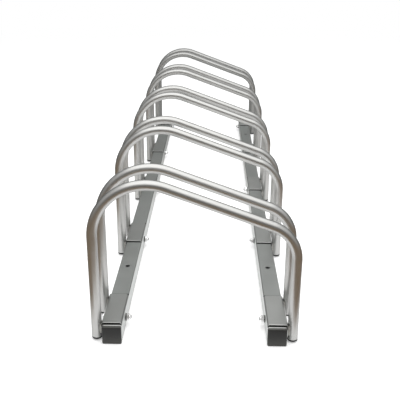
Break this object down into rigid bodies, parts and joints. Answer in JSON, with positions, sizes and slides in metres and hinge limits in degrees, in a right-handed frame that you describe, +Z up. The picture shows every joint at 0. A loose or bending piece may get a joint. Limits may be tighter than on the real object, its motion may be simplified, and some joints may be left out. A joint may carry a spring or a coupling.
{
  "type": "floor bike rack",
  "caption": "Low floor rack for bicycles: paired hoops of bent tube hold each wheel, bolted by angle brackets to square rails.",
  "frame": {"origin": "on the floor, in the middle of the rack's length and width", "axes": "+Y along the rails, away from the near end; +X across, towards the hoops' short legs; +Z up"},
  "size_m": [0.32, 1.334, 0.262],
  "materials": {
    "hoop_paint": "satin silver powder coat",
    "rail_paint": "satin silver-grey powder coat",
    "bracket_paint": "satin silver-grey powder coat",
    "weld_paint": "rippled weld under powder coat",
    "cap_plastic": "satin moulded plastic",
    "plug_plastic": "satin moulded plastic",
    "zinc": "bright zinc plating"
  },
  "bodies": {
    "root": {"left_rail": "rail_paint", "left_rail_near_cap": "cap_plastic", "left_rail_far_cap": "cap_plastic", "right_rail": "rail_paint", "right_rail_near_cap": "cap_plastic", "right_rail_far_cap": "cap_plastic", "first_left_bracket": "bracket_paint", "first_right_bracket": "bracket_paint", "second_left_bracket": "bracket_paint", "second_right_bracket": "bracket_paint", "third_left_bracket": "bracket_paint", "third_right_bracket": "bracket_paint", "fourth_left_bracket": "bracket_paint", "fourth_right_bracket": "bracket_paint", "fifth_left_bracket": "bracket_paint", "fifth_right_bracket": "bracket_paint", "first_near_hoop": "hoop_paint", "first_far_hoop": "hoop_paint", "second_near_hoop": "hoop_paint", "second_far_hoop": "hoop_paint", "third_near_hoop": "hoop_paint", "third_far_hoop": "hoop_paint", "fourth_near_hoop": "hoop_paint", "fourth_far_hoop": "hoop_paint", "fifth_near_hoop": "hoop_paint", "fifth_far_hoop": "hoop_paint", "first_leg_plugs": "plug_plastic", "second_leg_plugs": "plug_plastic", "third_leg_plugs": "plug_plastic", "fourth_leg_plugs": "plug_plastic", "fifth_leg_plugs": "plug_plastic", "first_welds": "weld_paint", "second_welds": "weld_paint", "third_welds": "weld_paint", "fourth_welds": "weld_paint", "fifth_welds": "weld_paint", "left_bolts": "zinc", "left_washers": "zinc", "left_nuts": "zinc", "right_bolts": "zinc", "right_washers": "zinc", "right_nuts": "zinc"}
  },
  "joints": []
}
